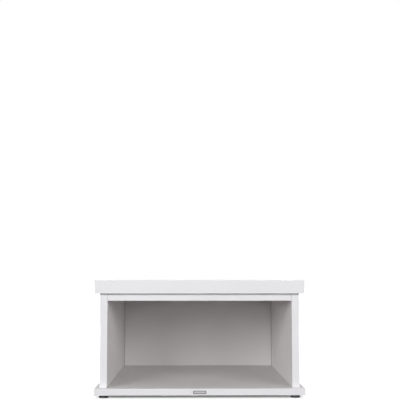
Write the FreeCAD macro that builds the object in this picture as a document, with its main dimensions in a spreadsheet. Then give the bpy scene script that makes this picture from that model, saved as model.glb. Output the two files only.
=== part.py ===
"""Laundry pedestal: an open-fronted cabinet of white faced board with a rimmed deck, on levelling feet.

Frame: millimetres, +Z up, the front faces -Y, origin on the floor under the middle of the cabinet.
"""
import FreeCAD, Part
import math
import os
import re

import Sketcher
from FreeCAD import Rotation, Vector

SIZES = {
    # Carcass boards
    "carcass_width": 600,
    "carcass_depth": 570,
    "bay_height": 260,
    "side_thickness": 22,
    "top_thickness": 22,
    "bottom_thickness": 20,
    "bottom_overhang": 15,
    "back_thickness": 16,
    "back_gap": 1,
    "back_setback": 5,
    # Deck and the raised rim round it
    "deck_thickness": 22,
    "rim_thickness": 15,
    "rim_lip": 18,
    # Plastic edge bands
    "band_thickness": 1,
    "band_round": 0.7,
    # Levelling feet, drawn fully screwed in
    "foot_height": 10,
    "foot_inset_side": 26,
    "foot_inset_front": 28,
    "foot_base_diameter": 30,
    "foot_base_height": 6.5,
    "foot_base_skirt": 4,
    "foot_base_hub": 16,
    "foot_base_chamfer": 1,
    "foot_base_floor": 1.5,
    "foot_base_draft": 0.4,
    "foot_rib_thickness": 1.2,
    "foot_rib_edge": 1.6,
    "foot_rib_end": 0.8,
    "foot_rib_drop": 0.4,
    "stem_diameter": 8,
    "stem_reach": 17,
    "stem_chamfer": 1,
    "stem_ball_diameter": 11,
    "stem_ball_height": 3.4,
    "stem_hex_across": 13,
    "stem_hex_gap": 0.3,
    "stem_hex_bevel": 1.5,
    "socket_clearance": 0.1,
    "insert_diameter": 12,
    "insert_length": 18,
    "insert_flange_diameter": 20,
    "insert_flange_thickness": 1.5,
    # Housing screws through the bottom board and the inner top
    "screw_head_diameter": 10,
    "screw_head_height": 3,
    "screw_shank_diameter": 7,
    "screw_shank_short": 1,
    "screw_thread_diameter": 5.5,
    "screw_length": 50,
    "screw_socket_across": 4,
    "screw_socket_depth": 2,
    "screw_inset": 85,
    "back_screw_inset": 97,
    # Pan-head screws that hold the deck down from below
    "deck_screw_diameter": 4,
    "deck_screw_length": 36,
    "deck_screw_head_diameter": 8,
    "deck_screw_head_height": 2.4,
    "deck_screw_inset_side": 78,
    "deck_screw_inset_front": 65,
    # Cam fittings between the inner top and the sides
    "cam_diameter": 15,
    "cam_setback": 34,
    "cam_cover": 5.5,
    "cam_inset": 85,
    "cam_mouth_diameter": 8.4,
    "cam_mouth_past": 3.5,
    "cam_drive_diameter": 4.4,
    "cam_drive_depth": 3.5,
    "bolt_shank_diameter": 6,
    "bolt_thread_diameter": 5,
    "bolt_thread_depth": 11,
    "bolt_neck_diameter": 4.5,
    "bolt_neck_length": 5,
    "bolt_head_diameter": 7.5,
    "bolt_head_length": 4,
    "cap_diameter": 17,
    "cap_thickness": 1,
    "cap_post_length": 3,
    # Wooden dowels
    "dowel_diameter": 8,
    "dowel_length": 30,
    "dowel_chamfer": 1,
    "dowel_face_depth": 10,
    "dowel_inset": 155,
    "rim_dowel_inset_side": 80,
    "rim_dowel_inset_front": 65,
    # Fits: radial play of a fastener in its hole, and the room left at a blind end
    "fit_play": 0.05,
    "end_room": 0.5,
}

SIDE_X = "(carcass_width - side_thickness) / 2"
INNER_X = "(carcass_width / 2 - side_thickness)"
FRONT_Y = "(carcass_depth / 2)"
BASE_X = "(carcass_width / 2 + bottom_overhang)"
BASE_Y = "(carcass_depth / 2 + bottom_overhang)"
RIM_X = "(carcass_width / 2 + rim_thickness)"
RIM_MIDDLE_X = "((carcass_width + rim_thickness) / 2)"
RIM_MIDDLE_Y = "((carcass_depth + rim_thickness) / 2)"
RIM_HEIGHT = "(deck_thickness + rim_lip)"
BOTTOM_TOP = "(foot_height + bottom_thickness)"
SIDE_HEIGHT = "(bay_height + top_thickness)"
INNER_TOP_Z = "(foot_height + bottom_thickness + bay_height)"
CARCASS_TOP = "(foot_height + bottom_thickness + bay_height + top_thickness)"
BACK_Y = "(carcass_depth / 2 - back_setback - back_thickness / 2)"
BACK_X = "(carcass_width / 2 - side_thickness - back_gap)"
FOOT_X = "(carcass_width / 2 + bottom_overhang - foot_inset_side)"
FOOT_Y = "(carcass_depth / 2 + bottom_overhang - foot_inset_front)"
BALL_BOTTOM = "(foot_base_floor + socket_clearance)"
BALL_TOP = "(foot_base_floor + socket_clearance + stem_ball_height)"
BALL_BEVEL = "((stem_ball_diameter - stem_diameter) / 2)"
CAM_HEIGHT = "(top_thickness - cam_cover - end_room)"
BAND_ROUND = "min(band_round; band_thickness * 0.9)"
FOOT_RIBS = 12

# Each facing turns a piece's own +Z to that side of the cabinet
FRONT = Rotation(Vector(1, 0, 0), 90)
FACING = {
    "up": Rotation(),
    "down": Rotation(Vector(1, 0, 0), 180),
    "front": FRONT,
    "rear": Rotation(Vector(0, 0, 1), 180) * FRONT,
    "left": Rotation(Vector(0, 0, 1), -90) * FRONT,
    "right": Rotation(Vector(0, 0, 1), 90) * FRONT,
    "up_turned": Rotation(Vector(0, 0, 1), 90),
    "up_reversed": Rotation(Vector(0, 0, 1), 180),
    "down_turned": Rotation(Vector(0, 0, 1), 90) * Rotation(Vector(1, 0, 0), 180),
}

doc = FreeCAD.newDocument("LaundryPedestal")
sheet = doc.addObject("Spreadsheet::Sheet", "size")
for row, (alias, number) in enumerate(SIZES.items(), 1):
    sheet.set(f"A{row}", alias)
    sheet.set(f"B{row}", str(number))
    sheet.setAlias(f"B{row}", alias)
doc.recompute()

ALIAS = re.compile(r"\b(" + "|".join(SIZES) + r")\b")
nodes = []


def linked(text):
    """The text of a size formula with every size name pointed at the spreadsheet."""
    return ALIAS.sub(r"size.\1", text)


def bind(feature, prop, text):
    feature.setExpression(prop, linked(text))


def value(text):
    return float(sheet.evalExpression(linked(text)))


def place(feature, x, y, z, facing="up"):
    feature.Placement = FreeCAD.Placement(Vector(), FACING[facing])
    for axis, text in zip("xyz", (x, y, z)):
        bind(feature, f"Placement.Base.{axis}", text)


def new_body(label):
    body = doc.addObject("PartDesign::Body", label)
    body.Label = label
    return body


def new_sketch(body, role, offset="0"):
    """A sketch on one of the body's own origin planes, moved along that plane's normal."""
    sketch = body.newObject("Sketcher::SketchObject", body.Label + "_sketch")
    plane = next(item for item in body.Origin.OriginFeatures if item.Role == role)
    sketch.AttachmentSupport = [(plane, "")]
    sketch.MapMode = "FlatFace"
    bind(sketch, "AttachmentOffset.Base.z", offset)
    return sketch


def constrain(sketch, kind, *target, text, name):
    index = sketch.addConstraint(Sketcher.Constraint(kind, *target, value(text)))
    sketch.renameConstraint(index, name)
    bind(sketch, f"Constraints.{name}", text)


def fix_point(sketch, geometry, point, x, y):
    """Holds a sketch point at two size formulas; a plain 0 puts it on the axis."""
    horizontal_axis, vertical_axis, origin = -1, -2, (-1, 1)
    for kind, text, axis in (("DistanceX", x, vertical_axis), ("DistanceY", y, horizontal_axis)):
        if text == "0":
            sketch.addConstraint(Sketcher.Constraint("PointOnObject", geometry, point, axis))
        else:
            constrain(sketch, kind, *origin, geometry, point, text=text, name=f"{kind}_{geometry}")


def outline(sketch, corners):
    """A closed outline of straight lines through corners given as pairs of size formulas."""
    points = [Vector(value(x), value(y), 0) for x, y in corners]
    count = len(points)
    for index in range(count):
        sketch.addGeometry(Part.LineSegment(points[index], points[(index + 1) % count]), False)
    for index in range(count):
        sketch.addConstraint(Sketcher.Constraint("Coincident", index, 2, (index + 1) % count, 1))
        fix_point(sketch, index, 1, *corners[index])


def rectangle(sketch, width, height):
    outline(sketch, [
        (f"-({width}) / 2", f"-({height}) / 2"), (f"({width}) / 2", f"-({height}) / 2"),
        (f"({width}) / 2", f"({height}) / 2"), (f"-({width}) / 2", f"({height}) / 2"),
    ])


def hexagon(sketch, across_flats):
    corner = f"({across_flats}) / sqrt(3)"
    flat = f"({across_flats}) / 2"
    outline(sketch, [
        (corner, "0"), (f"{corner} / 2", flat), (f"-{corner} / 2", flat),
        (f"-{corner}", "0"), (f"-{corner} / 2", f"-{flat}"), (f"{corner} / 2", f"-{flat}"),
    ])


def pad(body, sketch, length, centred=False):
    feature = body.newObject("PartDesign::Pad", body.Label + "_pad")
    feature.Profile = sketch
    feature.Midplane = centred
    bind(feature, "Length", length)
    doc.recompute()
    return feature


def pocket(body, sketch, depth, along_normal=False):
    """Cuts the sketch into the body and stops if the cut met no material."""
    before = body.Shape.Volume
    feature = body.newObject("PartDesign::Pocket", body.Label + "_pocket")
    feature.Profile = sketch
    feature.Reversed = along_normal
    bind(feature, "Length", depth)
    doc.recompute()
    if body.Shape.Volume >= before:
        raise RuntimeError(f"A cut in {body.Label} met no material")
    return feature


def drill(body, role, offset, centres, diameter, depth, along_normal=False):
    """Round holes of one size, all from one face of the body."""
    sketch = new_sketch(body, role, offset)
    for index, (x, y) in enumerate(centres):
        centre = Vector(value(x), value(y), 0)
        sketch.addGeometry(Part.Circle(centre, Vector(0, 0, 1), value(diameter) / 2), False)
        fix_point(sketch, index, 3, x, y)
        if index:
            sketch.addConstraint(Sketcher.Constraint("Equal", 0, index))
    constrain(sketch, "Diameter", 0, text=diameter, name="hole_diameter")
    pocket(body, sketch, depth, along_normal)


def turned(label, corners):
    """A piece turned about its own Z axis from half its section, as radius and height pairs."""
    body = new_body(label)
    sketch = new_sketch(body, "XZ_Plane")
    outline(sketch, corners)
    feature = body.newObject("PartDesign::Revolution", label + "_turning")
    feature.Profile = sketch
    feature.ReferenceAxis = (sketch, ["V_Axis"])
    feature.Angle = 360
    doc.recompute()
    return body


def turned_cut(body, corners):
    """Cuts a ring out of a piece, turned about its own Z axis, and stops if it met no material."""
    before = body.Shape.Volume
    sketch = new_sketch(body, "XZ_Plane")
    outline(sketch, corners)
    feature = body.newObject("PartDesign::Groove", body.Label + "_groove")
    feature.Profile = sketch
    feature.ReferenceAxis = (sketch, ["V_Axis"])
    feature.Angle = 360
    doc.recompute()
    if body.Shape.Volume >= before:
        raise RuntimeError(f"A turned cut in {body.Label} met no material")


def repeat_round(body, feature, count):
    """Repeats a feature evenly round the piece's own Z axis."""
    pattern = body.newObject("PartDesign::PolarPattern", body.Label + "_ring")
    axis = next(item for item in body.Origin.OriginFeatures if item.Role == "Z_Axis")
    pattern.Originals = [feature]
    pattern.Axis = (axis, [""])
    pattern.Angle = 360
    pattern.Occurrences = count
    body.Tip = pattern
    doc.recompute()


def board(label, width, depth, height, lift="0"):
    """A rectangular board, centred on its own Z axis and standing at the given lift."""
    body = new_body(label)
    sketch = new_sketch(body, "XY_Plane", lift)
    rectangle(sketch, width, depth)
    pad(body, sketch, height)
    return body


def band(label, length, width, rounded):
    """An edge band: length on X, width on Y, with the outer edges named in rounded eased."""
    body = new_body(label)
    sketch = new_sketch(body, "XY_Plane")
    rectangle(sketch, length, width)
    strip = pad(body, sketch, "band_thickness")
    outer = strip.Shape.BoundBox.ZMax
    names = []
    for index, edge in enumerate(strip.Shape.Edges, 1):
        on_outer_face = math.isclose(edge.BoundBox.ZMin, outer, abs_tol=0.001)
        runs = "x" if edge.BoundBox.XLength > edge.BoundBox.YLength else "y"
        if on_outer_face and runs in rounded:
            names.append(f"Edge{index}")
    ease = body.newObject("PartDesign::Fillet", label + "_ease")
    ease.Base = (strip, names)
    bind(ease, "Radius", BAND_ROUND)
    doc.recompute()
    return body


def node(label, *pieces):
    """One named sub-part made of placed copies: each piece is (master, x, y, z, facing)."""
    group = doc.addObject("Part::Compound", label)
    group.Label = label
    copies = []
    for index, (master, x, y, z, facing) in enumerate(pieces, 1):
        copy = doc.addObject("App::Link", f"{label}_{index}")
        copy.setLink(master)
        place(copy, x, y, z, facing)
        copies.append(copy)
    group.Links = copies
    nodes.append(group)


def both(text):
    return [f"-({text})", text]


def three(text):
    return [f"-({text})", "0", text]


DOWEL_HOLE = "dowel_diameter + 2 * fit_play"
DOWEL_FACE_HOLE = "dowel_face_depth"
DOWEL_EDGE_HOLE = "dowel_length - dowel_face_depth + end_room"
SHANK_HOLE = "screw_shank_diameter + 2 * fit_play"
HEAD_HOLE = "screw_head_diameter + 2 * fit_play"
THREAD_HOLE = "screw_thread_diameter + 2 * fit_play"
BOTTOM_THREAD_DEPTH = "screw_length - bottom_thickness + end_room"
TOP_THREAD_DEPTH = "screw_length - top_thickness + end_room"
DECK_SCREW_HOLE = "deck_screw_diameter + 2 * fit_play"
DECK_THREAD_DEPTH = "deck_screw_length - top_thickness + end_room"
SIDE_SCREW_Y = three(f"{FRONT_Y} - screw_inset")
SIDE_DOWEL_Y = both(f"{FRONT_Y} - dowel_inset")
CAM_Y = both(f"{FRONT_Y} - cam_inset")
BACK_SCREW_X = both(f"{BACK_X} - back_screw_inset")
RIM_DOWEL_X = three("carcass_width / 2 - rim_dowel_inset_side")
RIM_DOWEL_Y = three(f"{FRONT_Y} - rim_dowel_inset_front")
DECK_SCREW_X = both(f"{INNER_X} - deck_screw_inset_side")
DECK_SCREW_Y = three(f"{FRONT_Y} - deck_screw_inset_front")
DECK_SCREWS = [(x, y) for x in DECK_SCREW_X for y in DECK_SCREW_Y]
SIDE_SCREWS = [(x, y) for x in both(SIDE_X) for y in SIDE_SCREW_Y]
SIDE_DOWELS = [(x, y) for x in both(SIDE_X) for y in SIDE_DOWEL_Y]
FEET = {
    "front_left": (f"-{FOOT_X}", f"-{FOOT_Y}"), "front_right": (FOOT_X, f"-{FOOT_Y}"),
    "rear_left": (f"-{FOOT_X}", FOOT_Y), "rear_right": (FOOT_X, FOOT_Y),
}


def make_bottom_board():
    body = board("bottom_board", f"2 * ({BASE_X} - band_thickness)",
                 f"2 * ({BASE_Y} - band_thickness)", "bottom_thickness")
    feet = list(FEET.values())
    screws = SIDE_SCREWS + [(x, BACK_Y) for x in BACK_SCREW_X]
    drill(body, "XY_Plane", "0", feet, "insert_diameter + 2 * fit_play", "insert_length + end_room", True)
    drill(body, "XY_Plane", "0", feet, "insert_flange_diameter + 2 * fit_play",
          "insert_flange_thickness", True)
    drill(body, "XY_Plane", "0", screws, SHANK_HOLE, "bottom_thickness", True)
    drill(body, "XY_Plane", "0", screws, HEAD_HOLE, "screw_head_height", True)
    drill(body, "XY_Plane", "bottom_thickness", SIDE_DOWELS, DOWEL_HOLE, DOWEL_FACE_HOLE)
    place(body, "0", "0", "foot_height")
    nodes.append(body)


def make_side_panel(label, side):
    """side is -1 on the left and 1 on the right; the inner face looks the other way."""
    body = board(label, "side_thickness", f"2 * ({FRONT_Y} - band_thickness)", SIDE_HEIGHT)
    drill(body, "XY_Plane", "0", [("0", y) for y in SIDE_SCREW_Y], THREAD_HOLE, BOTTOM_THREAD_DEPTH, True)
    drill(body, "XY_Plane", "0", [("0", y) for y in SIDE_DOWEL_Y], DOWEL_HOLE, DOWEL_EDGE_HOLE, True)
    inner_face = f"{-side} * side_thickness / 2"
    joint_height = "bay_height + top_thickness / 2"
    drill(body, "YZ_Plane", inner_face, [(y, joint_height) for y in CAM_Y],
          "bolt_thread_diameter + 2 * fit_play", "bolt_thread_depth + end_room", side > 0)
    drill(body, "YZ_Plane", inner_face, [(y, joint_height) for y in SIDE_DOWEL_Y],
          DOWEL_HOLE, DOWEL_FACE_HOLE, side > 0)
    place(body, f"{side} * {SIDE_X}", "0", BOTTOM_TOP)
    nodes.append(body)


def make_inner_top():
    body = board("inner_top_panel", f"2 * {INNER_X}", f"2 * ({FRONT_Y} - band_thickness)", "top_thickness")
    cams = [(x, y) for x in both(f"{INNER_X} - cam_setback") for y in CAM_Y]
    back_screws = [(x, BACK_Y) for x in BACK_SCREW_X]
    drill(body, "XY_Plane", "0", cams, "cam_diameter", "top_thickness - cam_cover", True)
    drill(body, "XY_Plane", "0", DECK_SCREWS, DECK_SCREW_HOLE, "top_thickness", True)
    drill(body, "XY_Plane", "top_thickness", back_screws, SHANK_HOLE, "top_thickness")
    drill(body, "XY_Plane", "top_thickness", back_screws, HEAD_HOLE, "screw_head_height")
    for side in (-1, 1):
        end = f"{side} * {INNER_X}"
        drill(body, "YZ_Plane", end, [(y, "top_thickness / 2") for y in CAM_Y],
              "cam_mouth_diameter", "cam_setback", side < 0)
        drill(body, "YZ_Plane", end, [(y, "top_thickness / 2") for y in SIDE_DOWEL_Y],
              DOWEL_HOLE, DOWEL_EDGE_HOLE, side < 0)
    place(body, "0", "0", INNER_TOP_Z)
    nodes.append(body)


def make_back_panel():
    body = board("back_panel", f"2 * ({BACK_X} - band_thickness)", "back_thickness", "bay_height")
    holes = [(x, "0") for x in BACK_SCREW_X]
    drill(body, "XY_Plane", "0", holes, THREAD_HOLE, BOTTOM_THREAD_DEPTH, True)
    drill(body, "XY_Plane", "bay_height", holes, THREAD_HOLE, TOP_THREAD_DEPTH)
    place(body, "0", BACK_Y, BOTTOM_TOP)
    nodes.append(body)


def make_deck():
    body = board("deck_board", "carcass_width", "carcass_depth", "deck_thickness")
    drill(body, "XY_Plane", "0", DECK_SCREWS, DECK_SCREW_HOLE, DECK_THREAD_DEPTH, True)
    end_holes = [(y, "deck_thickness / 2") for y in RIM_DOWEL_Y]
    front_holes = [(x, "deck_thickness / 2") for x in RIM_DOWEL_X]
    for side in (-1, 1):
        drill(body, "YZ_Plane", f"{side} * carcass_width / 2", end_holes,
              DOWEL_HOLE, DOWEL_EDGE_HOLE, side < 0)
        drill(body, "XZ_Plane", f"{side} * {FRONT_Y}", front_holes, DOWEL_HOLE, DOWEL_EDGE_HOLE, side < 0)
    place(body, "0", "0", CARCASS_TOP)
    nodes.append(body)


def make_rim_boards():
    core_height = f"{RIM_HEIGHT} - 2 * band_thickness"
    long_dowels = [(x, "deck_thickness / 2") for x in RIM_DOWEL_X]
    short_dowels = [(y, "deck_thickness / 2") for y in RIM_DOWEL_Y]
    corners = [(x, f"{RIM_HEIGHT} / 2") for x in both(RIM_MIDDLE_X)]
    for label, side in (("front_rim_board", -1), ("rear_rim_board", 1)):
        body = board(label, f"2 * ({RIM_X} - band_thickness)", "rim_thickness", core_height, "band_thickness")
        drill(body, "XZ_Plane", f"{side} * rim_thickness / 2", long_dowels + corners,
              DOWEL_HOLE, DOWEL_FACE_HOLE, side < 0)
        place(body, "0", f"{side} * {RIM_MIDDLE_Y}", CARCASS_TOP)
        nodes.append(body)
    for label, side in (("left_rim_board", -1), ("right_rim_board", 1)):
        body = board(label, "rim_thickness", "carcass_depth", core_height, "band_thickness")
        drill(body, "YZ_Plane", f"{-side} * rim_thickness / 2", short_dowels,
              DOWEL_HOLE, DOWEL_FACE_HOLE, side > 0)
        for end in (-1, 1):
            drill(body, "XZ_Plane", f"{end} * {FRONT_Y}", [("0", f"{RIM_HEIGHT} / 2")],
                  DOWEL_HOLE, DOWEL_EDGE_HOLE, end < 0)
        place(body, f"{side} * {RIM_MIDDLE_X}", "0", CARCASS_TOP)
        nodes.append(body)


def make_edge_bands():
    """Bands on every board edge that shows; each pair of edges shares one band shape."""
    bottom_long = band("bottom_long_band", f"2 * {BASE_X}", "bottom_thickness", "xy")
    bottom_short = band("bottom_short_band", f"2 * ({BASE_Y} - band_thickness)", "bottom_thickness", "x")
    bottom_z = "foot_height + bottom_thickness / 2"
    node("bottom_board_edge_bands",
         (bottom_long, "0", f"band_thickness - {BASE_Y}", bottom_z, "front"),
         (bottom_long, "0", f"{BASE_Y} - band_thickness", bottom_z, "rear"),
         (bottom_short, f"band_thickness - {BASE_X}", "0", bottom_z, "left"),
         (bottom_short, f"{BASE_X} - band_thickness", "0", bottom_z, "right"))

    side_band = band("side_band", "side_thickness", SIDE_HEIGHT, "y")
    side_z = f"{BOTTOM_TOP} + {SIDE_HEIGHT} / 2"
    for name, side in (("left", -1), ("right", 1)):
        node(f"{name}_side_edge_bands",
             (side_band, f"{side} * {SIDE_X}", f"band_thickness - {FRONT_Y}", side_z, "front"),
             (side_band, f"{side} * {SIDE_X}", f"{FRONT_Y} - band_thickness", side_z, "rear"))

    top_band = band("inner_top_band", f"2 * {INNER_X}", "top_thickness", "x")
    top_z = f"{INNER_TOP_Z} + top_thickness / 2"
    node("inner_top_edge_bands",
         (top_band, "0", f"band_thickness - {FRONT_Y}", top_z, "front"),
         (top_band, "0", f"{FRONT_Y} - band_thickness", top_z, "rear"))

    back_band = band("back_band", "back_thickness", "bay_height", "y")
    back_z = f"{BOTTOM_TOP} + bay_height / 2"
    node("back_panel_edge_bands",
         (back_band, f"band_thickness - {BACK_X}", BACK_Y, back_z, "left"),
         (back_band, f"{BACK_X} - band_thickness", BACK_Y, back_z, "right"))

    rim_long = band("rim_long_band", f"2 * {RIM_X}", "rim_thickness", "xy")
    rim_end = band("rim_end_band", "rim_thickness", f"{RIM_HEIGHT} - 2 * band_thickness", "y")
    rim_short = band("rim_short_band", "carcass_depth", "rim_thickness", "x")
    upper = f"{CARCASS_TOP} + {RIM_HEIGHT} - band_thickness"
    lower = f"{CARCASS_TOP} + band_thickness"
    middle = f"{CARCASS_TOP} + {RIM_HEIGHT} / 2"
    for name, side in (("front", -1), ("rear", 1)):
        rim_y = f"{side} * {RIM_MIDDLE_Y}"
        node(f"{name}_rim_edge_bands",
             (rim_long, "0", rim_y, upper, "up"),
             (rim_long, "0", rim_y, lower, "down"),
             (rim_end, f"band_thickness - {RIM_X}", rim_y, middle, "left"),
             (rim_end, f"{RIM_X} - band_thickness", rim_y, middle, "right"))
    for name, side in (("left", -1), ("right", 1)):
        rim_x = f"{side} * {RIM_MIDDLE_X}"
        node(f"{name}_rim_edge_bands",
             (rim_short, rim_x, "0", upper, "up_turned"),
             (rim_short, rim_x, "0", lower, "down_turned"))


def make_dowels():
    radius = "dowel_diameter / 2"
    tip = f"{radius} - dowel_chamfer"
    dowel = turned("dowel", [
        ("0", "0"), (tip, "0"), (radius, "dowel_chamfer"),
        (radius, "dowel_length - dowel_chamfer"), (tip, "dowel_length"), ("0", "dowel_length"),
    ])
    node("bottom_dowels", *[
        (dowel, x, y, f"{BOTTOM_TOP} - dowel_face_depth", "up") for x, y in SIDE_DOWELS])
    top_z = f"{INNER_TOP_Z} + top_thickness / 2"
    node("inner_top_dowels", *[
        (dowel, f"{side} * ({INNER_X} + dowel_face_depth)", y, top_z, facing)
        for side, facing in ((-1, "right"), (1, "left")) for y in SIDE_DOWEL_Y])

    deck_z = f"{CARCASS_TOP} + deck_thickness / 2"
    across = f"{FRONT_Y} + dowel_face_depth"
    beside = "carcass_width / 2 + dowel_face_depth"
    front_and_rear = [(dowel, x, f"{side} * ({across})", deck_z, facing)
                      for side, facing in ((-1, "rear"), (1, "front")) for x in RIM_DOWEL_X]
    left_and_right = [(dowel, f"{side} * ({beside})", y, deck_z, facing)
                      for side, facing in ((-1, "right"), (1, "left")) for y in RIM_DOWEL_Y]
    node("rim_dowels", *front_and_rear, *left_and_right)
    corner_z = f"{CARCASS_TOP} + {RIM_HEIGHT} / 2"
    node("rim_corner_dowels", *[
        (dowel, x, f"{side} * ({across})", corner_z, facing)
        for side, facing in ((-1, "rear"), (1, "front")) for x in both(RIM_MIDDLE_X)])


def make_screws():
    head = "screw_head_diameter / 2"
    shank = "screw_shank_diameter / 2"
    thread = "screw_thread_diameter / 2"
    shank_end = "min(bottom_thickness; top_thickness) - screw_shank_short"
    housing_screw = turned("housing_screw", [
        ("0", "0"), (head, "0"), (head, "screw_head_height"), (shank, "screw_head_height"),
        (shank, shank_end), (thread, shank_end), (thread, f"screw_length - {thread}"),
        ("0", "screw_length"),
    ])
    socket = new_sketch(housing_screw, "XY_Plane")
    hexagon(socket, "screw_socket_across")
    pocket(housing_screw, socket, "screw_socket_depth", True)
    node("bottom_screws", *[(housing_screw, x, y, "foot_height", "up") for x, y in SIDE_SCREWS])
    node("back_panel_screws",
         *[(housing_screw, x, BACK_Y, "foot_height", "up") for x in BACK_SCREW_X],
         *[(housing_screw, x, BACK_Y, CARCASS_TOP, "down") for x in BACK_SCREW_X])

    head = "deck_screw_head_diameter / 2"
    thread = "deck_screw_diameter / 2"
    deck_screw = turned("deck_screw", [
        ("0", "-deck_screw_head_height"), (thread, "-deck_screw_head_height"),
        (head, "-deck_screw_head_height / 2"), (head, "0"), (thread, "0"),
        (thread, "deck_screw_length - deck_screw_diameter"), ("0", "deck_screw_length"),
    ])
    node("deck_screws", *[(deck_screw, x, y, INNER_TOP_Z, "up") for x, y in DECK_SCREWS])


def make_cam_fittings():
    """Cam drums in the inner top, the bolts they pull on, and the caps that cover them."""
    drum = "cam_diameter / 2 - fit_play"
    cam = turned("cam_lock", [("0", "0"), (drum, "0"), (drum, CAM_HEIGHT), ("0", CAM_HEIGHT)])
    drill(cam, "XY_Plane", "0", [("0", "0")], "cam_drive_diameter", "cam_drive_depth", True)
    drill(cam, "YZ_Plane", "-cam_mouth_past", [("0", "top_thickness / 2")],
          "cam_mouth_diameter", "cam_diameter", True)

    shank_end = "cam_setback - bolt_head_length / 2 - bolt_neck_length"
    neck_end = "cam_setback - bolt_head_length / 2"
    head_end = "cam_setback + bolt_head_length / 2"
    thread = "bolt_thread_diameter / 2"
    shank = "bolt_shank_diameter / 2"
    neck = "bolt_neck_diameter / 2"
    head = "bolt_head_diameter / 2"
    bolt = turned("cam_bolt", [
        ("0", "-bolt_thread_depth"), (thread, "-bolt_thread_depth"), (thread, "0"), (shank, "0"),
        (shank, shank_end), (neck, shank_end), (neck, neck_end), (head, neck_end),
        (head, head_end), ("0", head_end),
    ])
    post = "cam_drive_diameter / 2 - fit_play"
    cap_edge = "cap_diameter / 2"
    cap = turned("cam_cap", [
        ("0", "-cap_thickness"), (f"{cap_edge} - cap_thickness", "-cap_thickness"), (cap_edge, "0"),
        (post, "0"), (post, "cap_post_length"), ("0", "cap_post_length"),
    ])
    cam_x = f"({INNER_X} - cam_setback)"
    joint_z = f"{INNER_TOP_Z} + top_thickness / 2"
    node("cam_locks", *[(cam, f"{side} * {cam_x}", y, INNER_TOP_Z, facing)
                        for side, facing in ((-1, "up_reversed"), (1, "up")) for y in CAM_Y])
    node("cam_bolts", *[(bolt, f"{side} * {INNER_X}", y, joint_z, facing)
                        for side, facing in ((-1, "right"), (1, "left")) for y in CAM_Y])
    node("cam_caps", *[(cap, f"{side} * {cam_x}", y, INNER_TOP_Z, "up")
                       for side in (-1, 1) for y in CAM_Y])


def make_feet():
    """Threaded inserts in the bottom board, and in each a stem that turns in a plastic base."""
    bore = "stem_diameter / 2 + fit_play"
    insert = turned("foot_insert", [
        (bore, "0"), ("insert_flange_diameter / 2", "0"),
        ("insert_flange_diameter / 2", "insert_flange_thickness"),
        ("insert_diameter / 2", "insert_flange_thickness"), ("insert_diameter / 2", "insert_length"),
        (bore, "insert_length"),
    ])
    node("foot_inserts", *[(insert, x, y, "foot_height", "up") for x, y in FEET.values()])

    shaft = "stem_diameter / 2"
    ball = "stem_ball_diameter / 2"
    stem_top = "foot_height + stem_reach"
    stem = turned("foot_stem", [
        ("0", BALL_BOTTOM), (shaft, BALL_BOTTOM), (ball, f"{BALL_BOTTOM} + {BALL_BEVEL}"),
        (ball, f"{BALL_TOP} - {BALL_BEVEL}"), (shaft, BALL_TOP), (shaft, f"{stem_top} - stem_chamfer"),
        (f"{shaft} - stem_chamfer", stem_top), ("0", stem_top),
    ])
    collar = new_sketch(stem, "XY_Plane", "foot_base_height + stem_hex_gap")
    hexagon(collar, "stem_hex_across")
    pad(stem, collar, "foot_height - foot_base_height - stem_hex_gap")
    flat = "stem_hex_across / 2"
    for level, inward in (("foot_height", "-"), ("foot_base_height + stem_hex_gap", "+")):
        turned_cut(stem, [
            (flat, level), (f"{flat} + stem_hex_bevel", level),
            (f"{flat} + stem_hex_bevel", f"{level} {inward} stem_hex_bevel / sqrt(3)"),
        ])

    rim = "foot_base_diameter / 2"
    hub = "foot_base_hub / 2"
    neck = f"{shaft} + socket_clearance"
    socket = f"{ball} + socket_clearance"
    base = turned("foot_base", [
        ("0", "0"), (f"{rim} - foot_base_chamfer", "0"), (rim, "foot_base_chamfer"),
        (rim, "foot_base_skirt"), (hub, "foot_base_skirt + foot_base_draft"),
        (hub, "foot_base_height"), (neck, "foot_base_height"),
        (neck, f"{BALL_TOP} + socket_clearance"),
        (socket, f"{BALL_TOP} + socket_clearance - {BALL_BEVEL}"),
        (socket, f"{BALL_BOTTOM} - socket_clearance + {BALL_BEVEL}"),
        (neck, "foot_base_floor"), ("0", "foot_base_floor"),
    ])
    rib = new_sketch(base, "XZ_Plane")
    root = f"{hub} - foot_rib_thickness / 2"
    tip = f"{rim} - foot_rib_edge"
    outline(rib, [
        (root, "foot_base_skirt / 2"), (tip, "foot_base_skirt / 2"),
        (tip, "foot_base_skirt + foot_rib_end"), (hub, "foot_base_height - foot_rib_drop"),
        (root, "foot_base_height - foot_rib_drop"),
    ])
    repeat_round(base, pad(base, rib, "foot_rib_thickness", centred=True), FOOT_RIBS)
    for corner, (x, y) in FEET.items():
        node(f"{corner}_foot_base", (base, x, y, "0", "up"))
        node(f"{corner}_foot_stem", (stem, x, y, "0", "up"))


def write_nodes():
    """Checks the whole document, then writes each sub-part to its own file."""
    doc.recompute()
    for item in doc.Objects:
        if "Invalid" in item.State or "Error" in item.State:
            raise RuntimeError(f"{item.Label} is {item.State}")
    for item in nodes:
        if item.Shape.isNull() or not item.Shape.isValid() or not item.Shape.Solids:
            raise RuntimeError(f"{item.Label} has no sound solid")
    os.makedirs("parts", exist_ok=True)
    for item in nodes:
        item.Shape.exportStep(f"parts/{item.Label}.step")
        print(item.Label, len(item.Shape.Solids), "solids", round(item.Shape.Volume / 1000, 2), "cm3")


make_bottom_board()
make_side_panel("left_side_panel", -1)
make_side_panel("right_side_panel", 1)
make_inner_top()
make_back_panel()
make_deck()
make_rim_boards()
make_edge_bands()
make_dowels()
make_screws()
make_cam_fittings()
make_feet()
write_nodes()
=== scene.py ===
"""Looks of a laundry pedestal: board and fitting finishes, threaded feet, a bare plate and a plain studio."""
import math

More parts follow.
